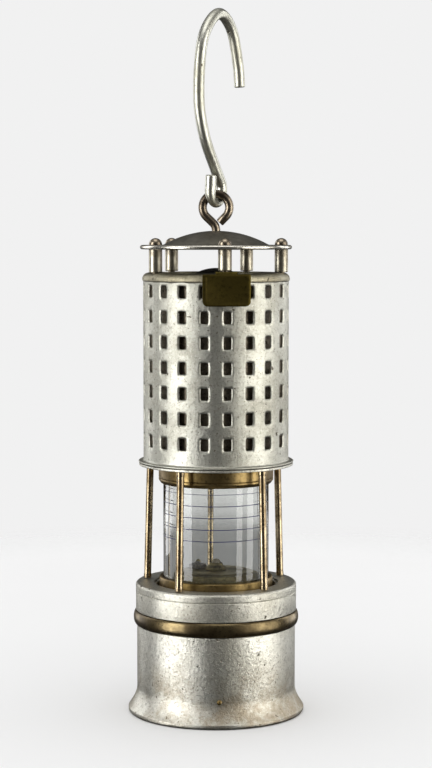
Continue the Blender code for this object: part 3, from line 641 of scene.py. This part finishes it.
def controls():
    """The knobs, key and filler plug in the recess under the base, and the striker wheel."""
    for node, look, hole, teeth, bevel in (("wick_knob", "brass", 0, 24, 0.6 * MM),
                                           ("striker_wheel", "steel", 1.8 * MM, 22, 0.15 * MM)):
        centre, outer, bottom, top = off_axis(node)
        cage = toothed_disc(outer, outer - 0.5 * MM, hole, top - bottom, teeth, bevel)
        add_piece(node + "_skin", cage, look, node, location=(*centre, bottom))

    low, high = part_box("igniter_key")
    centre = (low + high) / 2
    half_x, half_y, height = (high.x - low.x) / 2, (high.y - low.y) / 2, high.z - low.z
    around = 64
    full_height = 6.1           # the last of the heights below
    cage = bmesh.new()
    rings = []
    for inset, z in ((0.7, 0.0), (0.2, 0.25), (0.0, 0.7), (0.0, 3.6), (0.9, 4.4), (1.0, full_height)):
        ring = []
        for index in range(around):
            c, s = math.cos(FULL * index / around), math.sin(FULL * index / around)
            x = (half_x - inset * MM) * math.copysign(abs(c) ** 0.6, c)
            y = (half_y - inset * MM) * math.copysign(abs(s) ** 0.8, s)
            ring.append(cage.verts.new((x, y, z * height / full_height)))
        rings.append(ring)
    join_rings(cage, rings, capped=True)
    add_piece("igniter_key_skin", cage, "brass", "igniter_key", location=(centre.x, centre.y, low.z))

    centre, head_r, bottom, top = off_axis("filler_cap")
    plug_r = head_r - 2.7 * MM
    head_top = bottom + 3.5 * MM
    head = [(plug_r, head_top), (head_r, head_top), (head_r, bottom), (0, bottom)]
    item = turned("filler_cap", [(0, top), (plug_r, top)] + head, "brass", 96, 0.6 * MM, False, centre)
    slot_width, slot_depth = 1.6 * MM, 1.5 * MM
    slot = bmesh.new()
    size = Matrix.Diagonal((2.4 * head_r, slot_width, 2 * slot_depth, 1))
    bmesh.ops.create_cube(slot, size=1, matrix=Matrix.Translation((*centre, bottom)) @ size)
    cut(item, slot, "filler_slot")

    centre, radius, bottom, top = off_axis("filler_washer")
    profile = tube_profile(radius, 6.4 * MM, bottom, top)
    turned("filler_washer", profile, "rubber", 64, 0.35 * MM, True, centre)


def lock_spring():
    """The lock's coil, which shortens as the bolt is drawn down."""
    centre, outer, bottom, top = off_axis("lock_spring")
    wire_r, turns, steps, sides = 0.2 * MM, 4, 32, 12
    coil_r, length = outer - wire_r, top - bottom
    cage = bmesh.new()
    rings = []
    for step in range(turns * steps + 1):
        turn = FULL * step / steps
        height = wire_r + (length - 2 * wire_r) * step / (turns * steps)
        ring = []
        for side in range(sides):
            angle = FULL * side / sides
            reach = coil_r + wire_r * math.cos(angle)
            z = height + wire_r * math.sin(angle)
            ring.append(cage.verts.new((reach * math.cos(turn), reach * math.sin(turn), z)))
        rings.append(ring)
    join_rings(cage, rings, capped=True)
    foot = (*centre, bottom)
    coil = add_piece("lock_spring_skin", cage, "steel", "lock_spring", location=foot)
    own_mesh(coil)


# Frame

def rings_and_collars():
    """The two rings that the rods stand between, and the brass collars that hold the glass."""
    cup_r, bore_r = GLASS_R + 0.3 * MM, GLASS_R - GLASS_WALL + 0.3 * MM
    collar_bore = bore_r - 0.5 * MM

    radius, bottom, top = spread("lower_ring")
    collar_r = spread("bottom_collar")[0]
    groove_z, groove = top - 3.9 * MM, 0.35 * MM
    bore, opening, lip = collar_r + 0.5 * MM, collar_r - 2.8 * MM, 1.0 * MM
    web, step_z = top - 2.8 * MM, top - 1.2 * MM
    profile = [(radius - 0.7 * MM, top), (radius, top - 0.7 * MM), (radius, groove_z + groove / 2),
               (radius - groove, groove_z), (radius, groove_z - groove / 2), (radius, bottom),
               (bore, bottom), (bore, web), (opening, web), (opening, step_z), (opening + lip, step_z),
               (opening + lip, top)]
    turned("lower_ring", profile, "ring", corner=0.2 * MM)

    outer, bottom, top = spread("bottom_collar")
    wall_r = GLASS_R + 1.9 * MM
    seat = bottom + 1.5 * MM
    profile = [(wall_r - 0.4 * MM, top), (wall_r, top - 0.6 * MM), (wall_r, seat), (outer, seat),
               (outer, bottom), (bore_r, bottom), (bore_r, seat), (cup_r, seat), (cup_r, top)]
    turned("bottom_collar", profile, "brass")

    radius, bottom, top = spread("top_collar")
    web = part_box("top_gasket")[1].z + 0.3 * MM
    groove_z, groove = bottom + 2.6 * MM, 0.3 * MM
    profile = [(radius, top), (radius, groove_z + 0.25 * MM), (radius - groove, groove_z),
               (radius, groove_z - 0.25 * MM), (radius, bottom + 1.5 * MM), (radius - 1.1 * MM, bottom),
               (cup_r, bottom), (cup_r, web), (collar_bore, web), (collar_bore, top)]
    turned("top_collar", profile, "brass", corner=0.3 * MM)

    radius, bottom, top = spread("upper_ring")
    rim_top, ledge = bottom + 1.1 * MM, bottom + 2.6 * MM
    neck_r, neck_bore = radius - 3.3 * MM, 29 * MM
    profile = [(neck_r, top), (neck_r, rim_top), (radius, rim_top), (radius, bottom), (collar_bore, bottom),
               (collar_bore, ledge), (neck_bore, ledge), (neck_bore, top)]
    turned("upper_ring", profile, "ring", corner=0.3 * MM)


def guard_rods():
    """Round rods with a shallow turned collar at each end, leaning by 1.5 mm over their rise."""
    lean = math.atan(1.5 / 55.7)
    end_r, rod_r = 1.85 * MM, 1.70 * MM
    for index in range(1, GUARD_COUNT + 1):
        node = "pillar_%d" % index
        low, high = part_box(node)
        centre = (low + high) / 2
        half = (high.z - low.z - 0.1 * MM) / 2
        profile = [(0, half), (end_r, half), (end_r, half - 1.6 * MM), (rod_r, half - 2.2 * MM),
                   (rod_r, 2.2 * MM - half), (end_r, 1.6 * MM - half), (end_r, -half), (0, -half)]
        cage = lathe(rounded(profile, 0.15 * MM, False), SMALL_SIDES, False)
        bearing = math.atan2(centre.x, -centre.y)
        tilt = Matrix.Rotation(bearing, 4, "Z") @ Matrix.Rotation(-lean, 4, "X")
        add_piece(node + "_skin", cage, "rod_brass", node, location=centre, rotation=tilt.to_euler())


def glass():
    """The clear cylinder, with five painted lines across its front, the top one finer."""
    profile = tube_profile(GLASS_R, GLASS_R - GLASS_WALL, GLASS_LOW, GLASS_HIGH)
    turned("glass", profile, "glass", 200, 0.8 * MM)
    first, pitch, count = 84.8 * MM, 5.5 * MM, 5
    for index in range(count):
        half = (0.19 if index < count - 1 else 0.12) * MM
        cage = front_band(GLASS_R, first + pitch * index, half)
        add_piece("glass_line_%d" % (index + 1), cage, "line", "glass")


def front_band(radius, z, half):
    """A thin painted band over the front of a cylinder, tapering at its ends."""
    reach, steps, paint = math.radians(100), 90, 0.03 * MM
    cage = bmesh.new()
    rings = []
    for step in range(steps + 1):
        angle = reach * (2 * step / steps - 1)
        width = half * min(1.0, 0.25 + 8 * (1 - abs(angle) / reach))
        ring = []
        for depth, rise in ((-paint, -width), (paint, -width), (paint, width), (-paint, width)):
            reached = radius + depth
            ring.append(cage.verts.new((reached * math.sin(angle), -reached * math.cos(angle), z + rise)))
        rings.append(ring)
    join_rings(cage, rings, capped=True)
    return cage


def gauze_caps():
    """Two domed caps of woven wire, one inside the other, each with a flange at its foot."""
    sheet = 0.6 * MM
    for node, body_r in (("inner_gauze", INNER_GAUZE_R), ("outer_gauze", OUTER_GAUZE_R)):
        flange_r, bottom, top = spread(node)
        shoulder, flange_top = top - body_r, bottom + sheet
        dome = arc((0, shoulder), body_r, 90, 0, 20)
        inner = arc((0, shoulder), body_r - sheet, 0, 90, 20)
        dome[0], inner[-1] = (0, top), (0, top - sheet)
        side = [(body_r, flange_top), (flange_r, flange_top), (flange_r, bottom), (body_r - sheet, bottom)]
        add_piece(node + "_skin", lathe(dome + side + inner, 96, False), "gauze", node)


# Bonnet

def box_point(half_width, half_height, angle, power):
    """A point on a rectangle with rounded corners, at an angle from its centre."""
    c, s = math.cos(angle), math.sin(angle)
    x = half_width * math.copysign(abs(c) ** (2 / power), c)
    z = half_height * math.copysign(abs(s) ** (2 / power), s)
    return x, z


def bonnet():
    """The perforated wall: each slot has its rim pressed inwards; the foot turns out as a flange."""
    low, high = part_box("bonnet")
    columns, rows, pitch_z = 20, 7, 11.7 * MM
    flange_r = high.x / math.cos(math.pi / (2 * columns))
    wall_r = flange_r - 2.4 * MM
    thickness = 0.8 * MM
    bottom = low.z
    top_row_z = bottom + 81.3 * MM
    wall_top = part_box("bonnet_cap")[0].z - 0.3 * MM
    around = 32
    half_cell = wall_r * math.pi / columns
    # from the slot's inner edge to the flat wall: half width, half height, depth, squareness
    loops = [(1.84, 2.80, -0.85, 7.0), (1.84, 2.80, -0.58, 7.0), (1.95, 2.92, -0.40, 6.5),
             (2.15, 3.15, -0.25, 6.0), (2.45, 3.55, -0.10, 5.5), (2.75, 3.90, -0.02, 5.0),
             (3.10, 4.20, 0.0, 4.5)]
    dent_depth, dents_around, dents_up = 0.144 * MM, 2.2, 38
    cage = bmesh.new()

    def corner(x, z, depth, bearing):
        """A vertex on the wall, x along it from a bearing, with slight handling dents."""
        angle = bearing + x / wall_r
        around_lamp = (math.sin(angle) * dents_around, math.cos(angle) * dents_around, z * dents_up)
        radius = wall_r + depth - abs(noise.noise(Vector(around_lamp))) * dent_depth
        return cage.verts.new((radius * math.sin(angle), -radius * math.cos(angle), z))

    for row in range(rows):
        centre_z = top_row_z - pitch_z * row
        above = wall_top - centre_z if row == 0 else pitch_z / 2
        for column in range(columns):
            bearing = FULL * (column + 0.5) / columns
            rings = []
            for half_w, half_h, depth, power in loops:
                ring = []
                for index in range(around):
                    x, z = box_point(half_w * MM, half_h * MM, FULL * index / around, power)
                    ring.append(corner(x, centre_z + z, depth * MM, bearing))
                rings.append(ring)
            edge = []
            for index in range(around):
                angle = FULL * index / around
                x = half_cell * max(-1, min(1, math.cos(angle) * math.sqrt(2)))
                z = max(-1, min(1, math.sin(angle) * math.sqrt(2)))
                z = z * above if z > 0 else z * pitch_z / 2
                edge.append(corner(x, centre_z + z, 0, bearing))
            rings.append(edge)
            join_rings(cage, rings)

    # the plain skirt under the last row, bent out into the flange
    skirt_top = top_row_z - pitch_z * (rows - 0.5)
    flange_top = bottom + thickness
    bend = 0.9 * MM
    levels = [(wall_r, skirt_top), (wall_r, flange_top + 3 * MM), (wall_r, flange_top + bend)]
    levels += arc((wall_r + bend, flange_top + bend), bend, 180, 270, 5)[1:]
    levels += [(flange_r - 0.4 * MM, flange_top), (flange_r, flange_top - 0.3 * MM)]
    bearings = []
    for column in range(columns):
        for index in range(around // 4):
            angle = FULL * (3 / 8 - index / around)
            bearings.append((FULL * (column + 0.5) / columns, half_cell * math.cos(angle) * math.sqrt(2)))
    rings = []
    for radius, z in levels:
        rings.append([corner(x, z, radius - wall_r, bearing) for bearing, x in bearings])
    join_rings(cage, rings)
    bmesh.ops.remove_doubles(cage, verts=cage.verts, dist=0.02 * MM)
    item = add_piece("bonnet_skin", cage, "aluminium", "bonnet")
    shell = item.modifiers.new("sheet", "SOLIDIFY")
    shell.thickness = thickness
    shell.offset = -1


def inner_shield():
    """The plain sleeve behind the slots."""
    radius, bottom, top = spread("inner_shield")
    profile = tube_profile(radius, radius - 0.6 * MM, bottom, top)
    turned("inner_shield", profile, "shield", corner=0.1 * MM)


def cap_and_hood():
    """The pressed cap with its round opening, and the domed hood with a rolled rim."""
    radius, bottom, top = spread("bonnet_cap")
    wall, shoulder, hole = 0.8 * MM, 3.0 * MM, 22.5 * MM
    centre = (radius - shoulder, top - shoulder)
    profile = [(hole, top - 0.3 * MM), (hole + 0.4 * MM, top)]
    profile += arc(centre, shoulder, 90, 0, 12)
    profile += [(radius, bottom + 0.3 * MM), (radius - 0.15 * MM, bottom), (radius - wall, bottom)]
    profile += arc(centre, shoulder - wall, 0, 90, 8) + [(hole, top - wall)]
    add_piece("bonnet_cap_skin", lathe(profile), "cap_aluminium", "bonnet_cap")

    radius, bottom, top = spread("hood")
    rim_r = 1.0 * MM
    brim_top, sheet, dome_r, sphere = bottom + 1.8 * MM, 1.0 * MM, 25.5 * MM, 50.6 * MM
    centre_z = brim_top - math.sqrt(sphere ** 2 - dome_r ** 2)
    hole = 2.35 * MM

    def dome(sphere_r, start, end, steps):
        points = []
        for step in range(steps + 1):
            r = start + (end - start) * step / steps
            points.append((r, centre_z + math.sqrt(sphere_r ** 2 - r ** 2)))
        return points

    profile = dome(sphere, hole, dome_r - 0.8 * MM, 18) + [(dome_r + 1.4 * MM, brim_top - 0.05 * MM)]
    profile += [(radius - 3.2 * MM, brim_top)]
    profile += arc((radius - rim_r, bottom + rim_r), rim_r, 100, -150, 14)
    profile += [(radius - 2.6 * MM, brim_top - sheet), (dome_r + 1.0 * MM, brim_top - sheet)]
    profile += dome(sphere - sheet, dome_r - 1.2 * MM, hole, 12)
    add_piece("hood_skin", lathe(profile), "hood_metal", "hood")


def posts_and_rivets():
    """Tubes between cap and hood, each with a long rivet through it that is domed above the hood."""
    bore, shank_r, tail_r = 1.9 * MM, 1.6 * MM, 2.0 * MM
    for index in range(1, GUARD_COUNT + 1):
        node = "hood_post_%d" % index
        centre, radius, bottom, top = off_axis(node)
        profile = tube_profile(radius, bore, bottom, top)
        turned(node, profile, "post_metal", SMALL_SIDES, 0.45 * MM, True, centre)
        node = "hood_rivet_%d" % index
        _, head_r, bottom, top = off_axis(node)
        head_low, tail_top = top - 3.2 * MM, bottom + 0.7 * MM
        dome = arc((0, head_low + 0.1 * MM), head_r, 90, 8, 12)
        dome[0] = (0, top)
        profile = dome + [(head_r, head_low), (shank_r, head_low), (shank_r, tail_top), (tail_r, tail_top),
                          (tail_r, bottom), (0, bottom)]
        cage = lathe(profile, SMALL_SIDES, False)
        add_piece(node + "_skin", cage, "bronze", node, location=(*centre, 0))


def tag():
    """A thin plate with rounded lower corners, a raised border and a tab folded over the cap."""
    low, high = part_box("tag")
    post = middle("hood_post_1")
    bearing = math.atan2(post.x, -post.y)
    reach = Vector((post.x, post.y)).length
    front = 36.7 * MM
    half, height = 11.1 * MM, high.z - low.z
    low_corner, high_corner, fold = 2.4 * MM, 0.6 * MM, 1.2 * MM
    plate_top = height - fold
    outline = arc((half - low_corner, low_corner), low_corner, -90, 0, 8)
    outline += arc((half - high_corner, plate_top - high_corner), high_corner, 0, 90, 4)
    outline += arc((high_corner - half, plate_top - high_corner), high_corner, 90, 180, 4)
    outline += arc((low_corner - half, low_corner), low_corner, 180, 270, 8)
    cage = bmesh.new()
    centre = Vector((0, plate_top / 2))
    rings = []
    # back, front edge, border and the face sunk inside it: share of the outline, depth
    for inset, depth in ((1.0, 0.0), (1.0, 0.55), (0.93, 0.8), (0.86, 0.8), (0.82, 0.62)):
        ring = []
        for x, z in outline:
            place = centre + (Vector((x, z)) - centre) * inset
            ring.append(cage.verts.new((place.x, -depth * MM, place.y)))
        rings.append(ring)
    join_rings(cage, rings, capped=True)

    tab_half, length = 5.0 * MM, front - reach
    strip = [(0.0, height - 5 * MM)] + [(y, plate_top + z) for y, z in arc((fold, 0), fold, 180, 90, 6)]
    strip.append((length, height))
    rungs = []
    for y, z in strip:
        rungs.append([cage.verts.new((side * tab_half, y, z)) for side in (-1, 1)])
    for first, second in zip(rungs, rungs[1:]):
        cage.faces.new((first[0], first[1], second[1], second[0]))
    tip = []
    for x, y in arc((0, length), tab_half, 0, 180, 12)[1:-1]:
        tip.append(cage.verts.new((x, y, height)))
    cage.faces.new(rungs[-1] + tip)
    turn = Matrix.Rotation(bearing, 4, "Z")
    start = turn @ Vector((0, -front, 0))
    place = (start.x, start.y, low.z)
    add_piece("tag_skin", cage, "tag_brass", "tag", location=place, rotation=turn.to_euler())


# Suspension

def eye():
    """The eye's wire: up from the shank, around the loop, and back to meet the shank."""
    low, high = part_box("eye")
    wire_r = EYE_WIRE_R - 0.05 * MM     # a hair thinner, so that the hook swings clear
    loop_r, end_run = 6.3 * MM, 2.8 * MM
    centre_z = high.z - EYE_WIRE_R - loop_r
    shank = [(0, low.z), (0, low.z + 3 * MM), (0, centre_z - 12 * MM), (0, centre_z - 10.4 * MM),
             (-0.6 * MM, centre_z - 8.4 * MM), (-1.9 * MM, centre_z - 6.9 * MM)]
    loop = arc((0, centre_z), loop_r, 225, -45, 54)
    lead = smooth_route([(x, 0, z) for x, z in shank + [loop[0]]], 6)
    end = Vector((loop[-1][0] - end_run, 0, loop[-1][1] - end_run))
    route = lead[:-1] + [Vector((x, 0, z)) for x, z in loop] + [end]
    wire("eye", with_ends(route, 0.35 * MM), wire_r, "bronze")

    radius, bottom, top = spread("eye_washer")
    profile = tube_profile(radius, 2.35 * MM, bottom, top)
    turned("eye_washer", profile, "bronze", SMALL_SIDES, 0.2 * MM)


def hook():
    """The long S-hook, bent in one upright plane; the lower loop is worn thin by the eye."""
    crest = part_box("hook")[1].z
    wire_r, loop_r, wear = 2.65 * MM, 5.65 * MM, 0.265
    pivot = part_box("eye")[1].z - EYE_WIRE_R
    loop_z = pivot + 1.1 * MM
    plane_turn = math.radians(62)
    # across the lamp and up from the loop's centre, in millimetres: the short leg, then the long one
    short_leg = [(-5.0, 7.6), (-5.4, 3.6)]
    bends = [(5.0, 3.8), (-1.0, 11.3), (-11.7, 26.1), (-16.9, 44.4), (-12.8, 70.4), (1.8, 83.3),
             (15.4, 77.6), (22.4, 61.4), (24.3, 50.4)]
    loop = [Vector((x, 0, z)) for x, z in arc((0, loop_z), loop_r, 180, 360, 36)]
    start = [Vector((x * MM, 0, loop_z + z * MM)) for x, z in short_leg]
    rest = [Vector((x * MM, 0, loop_z + z * MM)) for x, z in bends]
    route = smooth_route(start + [loop[0]], 4)[:-1] + loop[:-1] + smooth_route([loop[-1]] + rest, 10)
    scales = []
    for place in route:
        on_loop = place.z < loop_z and abs(place.x) < loop_r + 0.1 * MM
        scales.append(1 - wear * (loop_z - place.z) / loop_r if on_loop else 1.0)
    scales = [1.0] + scales + [1.0]
    fit = (crest - wire_r - pivot) / (max(place.z for place in route) - pivot)
    route = [Vector((place.x, 0, (place.z - pivot) * fit)) for place in route]
    route = with_ends(route, 0.4 * MM)
    wire("hook", route, wire_r, "hook_metal", scales, (0, 0, pivot), (0, 0, plane_turn))


# Surroundings

def camera():
    """Level with the hood and looking slightly down, as one photographs a tall small object."""
    data = bpy.data.cameras.new("camera")
    data.lens = 90.8            # in millimetres
    data.sensor_width = 36.0
    item = bpy.data.objects.new("camera", data)
    item.location = (0.0, -0.9173, 0.2285)
    item.rotation_euler = (math.radians(85.52), 0, 0)
    bpy.context.scene.collection.objects.link(item)
    bpy.context.scene.camera = item


def softbox(name, bearing, distance, height, size, power, colour=(1, 1, 1)):
    """A light at a bearing in degrees from the front, turned to the lamp and seen only in reflections."""
    data = bpy.data.lights.new(name, "AREA")
    data.shape = "RECTANGLE"
    data.size, data.size_y = size
    data.energy = power
    data.color = colour
    item = bpy.data.objects.new(name, data)
    angle = math.radians(bearing)
    item.location = (distance * math.sin(angle), -distance * math.cos(angle), height)
    aim = Vector((0, 0, 0.2))
    item.rotation_euler = (aim - item.location).to_track_quat("-Z", "Y").to_euler()
    item.visible_diffuse = False
    item.visible_transmission = False
    bpy.context.scene.collection.objects.link(item)


def table():
    """A white tabletop that fades into the backdrop about half a metre from the lamp."""
    fade_from, fade_to = 0.44, 0.60
    cage = bmesh.new()
    bmesh.ops.create_circle(cage, cap_ends=True, segments=96, radius=fade_to + 0.02)
    mesh = bpy.data.meshes.new("floor")
    cage.to_mesh(mesh)
    cage.free()
    paper = Shader("paper", Roughness=0.75)
    tone = paper.ramp(paper.noise(3.0, 2.0), 0.3, 0.7)
    paper.set("Base Color", paper.mix(tone, (0.84, 0.84, 0.84), (0.86, 0.86, 0.86)))
    paper.set("Alpha", paper.ramp(paper.radius(), fade_to, fade_from))
    mesh.materials.append(paper.material)
    floor = bpy.data.objects.new("floor", mesh)
    floor.visible_glossy = False
    bpy.context.scene.collection.objects.link(floor)


def studio():
    """A pale backdrop to look at. The metal reflects a dark room under a soft pale ceiling instead."""
    backdrop, daylight, room, zenith, through_glass = 0.88, 1.12, 0.06, 0.60, 0.36
    world = bpy.data.worlds.new("studio")
    world.use_nodes = True
    tree = world.node_tree
    direction = tree.nodes.new("ShaderNodeTexCoord").outputs["Generated"]
    height = tree.nodes.new("ShaderNodeSeparateXYZ")
    tree.links.new(direction, height.inputs[0])
    ceiling = tree.nodes.new("ShaderNodeMapRange")
    ceiling.interpolation_type = "SMOOTHSTEP"
    tree.links.new(height.outputs["Z"], ceiling.inputs["Value"])
    for socket, value in (("From Min", 0.45), ("From Max", 0.95), ("To Min", room), ("To Max", zenith)):
        ceiling.inputs[socket].default_value = value
    path = tree.nodes.new("ShaderNodeLightPath")
    level = backdrop
    for ray, strength in (("Is Diffuse Ray", daylight), ("Is Glossy Ray", ceiling.outputs[0]),
                          ("Is Transmission Ray", through_glass)):
        choice = tree.nodes.new("ShaderNodeMix")
        tree.links.new(path.outputs[ray], choice.inputs[0])
        for index, value in ((2, level), (3, strength)):
            if isinstance(value, bpy.types.NodeSocket):
                tree.links.new(value, choice.inputs[index])
            else:
                choice.inputs[index].default_value = value
        level = choice.outputs[0]
    background = tree.nodes["Background"]
    background.inputs["Color"].default_value = (1, 1, 1, 1)
    tree.links.new(level, background.inputs["Strength"])
    bpy.context.scene.world = world
    bpy.context.scene.view_settings.view_transform = "Standard"


def surroundings():
    """The table, the backdrop, and softboxes at both sides, behind and above."""
    warm = (1.0, 0.985, 0.95)
    table()
    studio()
    softbox("left_softbox", -61, 1.0, 0.24, (0.50, 1.3), 13.8)
    softbox("right_softbox", 52, 1.0, 0.27, (0.25, 1.2), 4.6, warm)
    softbox("right_side_softbox", 76, 1.0, 0.27, (0.42, 1.2), 7.5, warm)
    softbox("left_back_softbox", -130, 1.1, 0.35, (0.5, 1.0), 4)
    softbox("right_back_softbox", 130, 1.1, 0.35, (0.5, 1.0), 4)
    softbox("top_softbox", 0, 0.15, 1.5, (0.9, 0.9), 5)


def build():
    camera()
    dress_frame()
    font()
    burner()
    controls()
    lock_spring()
    rings_and_collars()
    guard_rods()
    glass()
    gauze_caps()
    bonnet()
    inner_shield()
    cap_and_hood()
    posts_and_rivets()
    tag()
    eye()
    hook()
    surroundings()


build()
